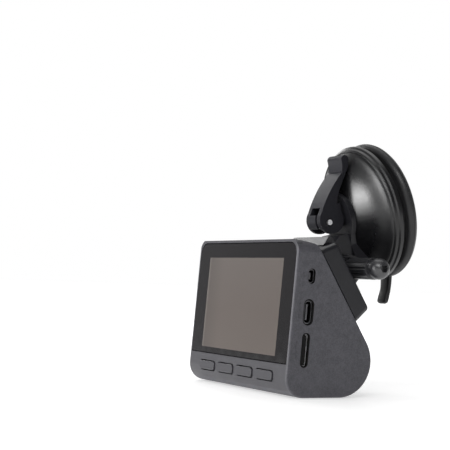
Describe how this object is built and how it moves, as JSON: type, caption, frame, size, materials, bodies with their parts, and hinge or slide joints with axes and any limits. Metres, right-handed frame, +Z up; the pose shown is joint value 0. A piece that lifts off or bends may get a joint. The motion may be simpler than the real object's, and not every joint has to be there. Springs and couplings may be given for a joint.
{
  "type": "dash camera",
  "caption": "Wedge-shaped dash camera with a rear screen, tilting on a pivot bar under a lever-locked windscreen suction cup.",
  "frame": {"origin": "centre of the camera's flat bottom face", "axes": "+X along the width to the socket end, +Y forward to the windscreen, +Z up"},
  "size_m": [0.0955, 0.0652, 0.1035],
  "materials": {
    "housing": "fine charcoal texture",
    "frame": "smooth satin charcoal",
    "screen_glass": "polished black cover glass",
    "display": "switched-off warm grey panel",
    "button": "satin charcoal",
    "circuit_board": "green solder mask",
    "switch_metal": "plain",
    "steel": "zinc plated",
    "socket_metal": "nickel plated",
    "card": "matte black",
    "aluminium": "plain",
    "capacitor": "sleeved",
    "speaker": "black",
    "ceramic": "ceramic",
    "light_window": "smoked",
    "lens_black": "matte black",
    "lens_glass": "coated",
    "trim_ring": "satin ring",
    "foam_pad": "black foam tape",
    "mount_plastic": "satin black",
    "bar": "glossy black",
    "knob": "satin gloss",
    "dome": "glossy black",
    "neck": "satin black",
    "rubber": "satin black rubber",
    "pin": "polished end",
    "lever": "satin dark grey"
  },
  "bodies": {
    "button_1": {"button_1": "button"},
    "button_2": {"button_2": "button"},
    "button_3": {"button_3": "button"},
    "button_4": {"button_4": "button"},
    "memory_card": {"memory_card": "card"},
    "knob": {"tightening_knob": "knob", "clamp_screw": "steel"},
    "stem": {"pull_stem": "neck", "lever_pin": "pin"},
    "lever": {"cam_lever": "lever"},
    "suction_mount": {"suction_dome": "dome", "neck_arm": "neck", "rubber_pad": "rubber", "stem_spring": "steel"},
    "camera": {"main_shell": "housing", "lens_housing": "housing", "socket_end_cap": "housing", "lens_end_cap": "housing", "rear_frame": "frame", "display_glass": "screen_glass", "display_panel": "display", "button_board": "circuit_board", "tact_switches": "switch_metal", "main_board": "circuit_board", "board_screws": "steel", "usb_socket": "socket_metal", "rear_camera_socket": "socket_metal", "card_socket": "socket_metal", "heat_spreader": "aluminium", "supercapacitors": "capacitor", "speaker": "speaker", "microphone": "socket_metal", "satellite_antenna": "ceramic", "status_light": "light_window", "lens_barrel": "lens_black", "front_lens": "lens_glass", "lens_trim_ring": "trim_ring", "sensor_board": "circuit_board", "adhesive_pad": "foam_pad", "base_plate": "mount_plastic", "mount_base": "mount_plastic", "pivot_bar": "bar", "friction_washers": "rubber", "clamp_nut": "steel"}
  },
  "joints": [
    {"name": "camera_tilt", "type": "hinge", "parent": "suction_mount", "child": "camera", "pos_m": [0.014, 0.0228, 0.0508], "axis": [1, 0, 0], "range_deg": [-10, 45]},
    {"name": "knob_turn", "type": "hinge", "parent": "camera", "child": "knob", "pos_m": [0.014, 0.0228, 0.0508], "axis": [1, 0, 0], "continuous": true},
    {"name": "lever_open", "type": "hinge", "parent": "stem", "child": "lever", "pos_m": [0.0152, 0.01546, 0.06942], "axis": [1, 0, 0], "range_deg": [0, 80]},
    {"name": "stem_slide", "type": "slide", "parent": "suction_mount", "child": "stem", "axis": [0, 0.9694, 0.2453], "range_m": [0, 0.0017]},
    {"name": "card_slide", "type": "slide", "parent": "camera", "child": "memory_card", "axis": [1, 0, 0], "range_m": [0, 0.012]},
    {"name": "button_1_press", "type": "slide", "parent": "camera", "child": "button_1", "axis": [0, 0.9976, -0.0698], "range_m": [0, 0.0004], "stiffness_N_per_m": 800},
    {"name": "button_2_press", "type": "slide", "parent": "camera", "child": "button_2", "axis": [0, 0.9976, -0.0698], "range_m": [0, 0.0004], "stiffness_N_per_m": 800},
    {"name": "button_3_press", "type": "slide", "parent": "camera", "child": "button_3", "axis": [0, 0.9976, -0.0698], "range_m": [0, 0.0004], "stiffness_N_per_m": 800},
    {"name": "button_4_press", "type": "slide", "parent": "camera", "child": "button_4", "axis": [0, 0.9976, -0.0698], "range_m": [0, 0.0004], "stiffness_N_per_m": 800}
  ],
  "couplings": [
    {"joint": "lever_open", "follows": "stem_slide", "rad_per_m": 821.3}
  ]
}
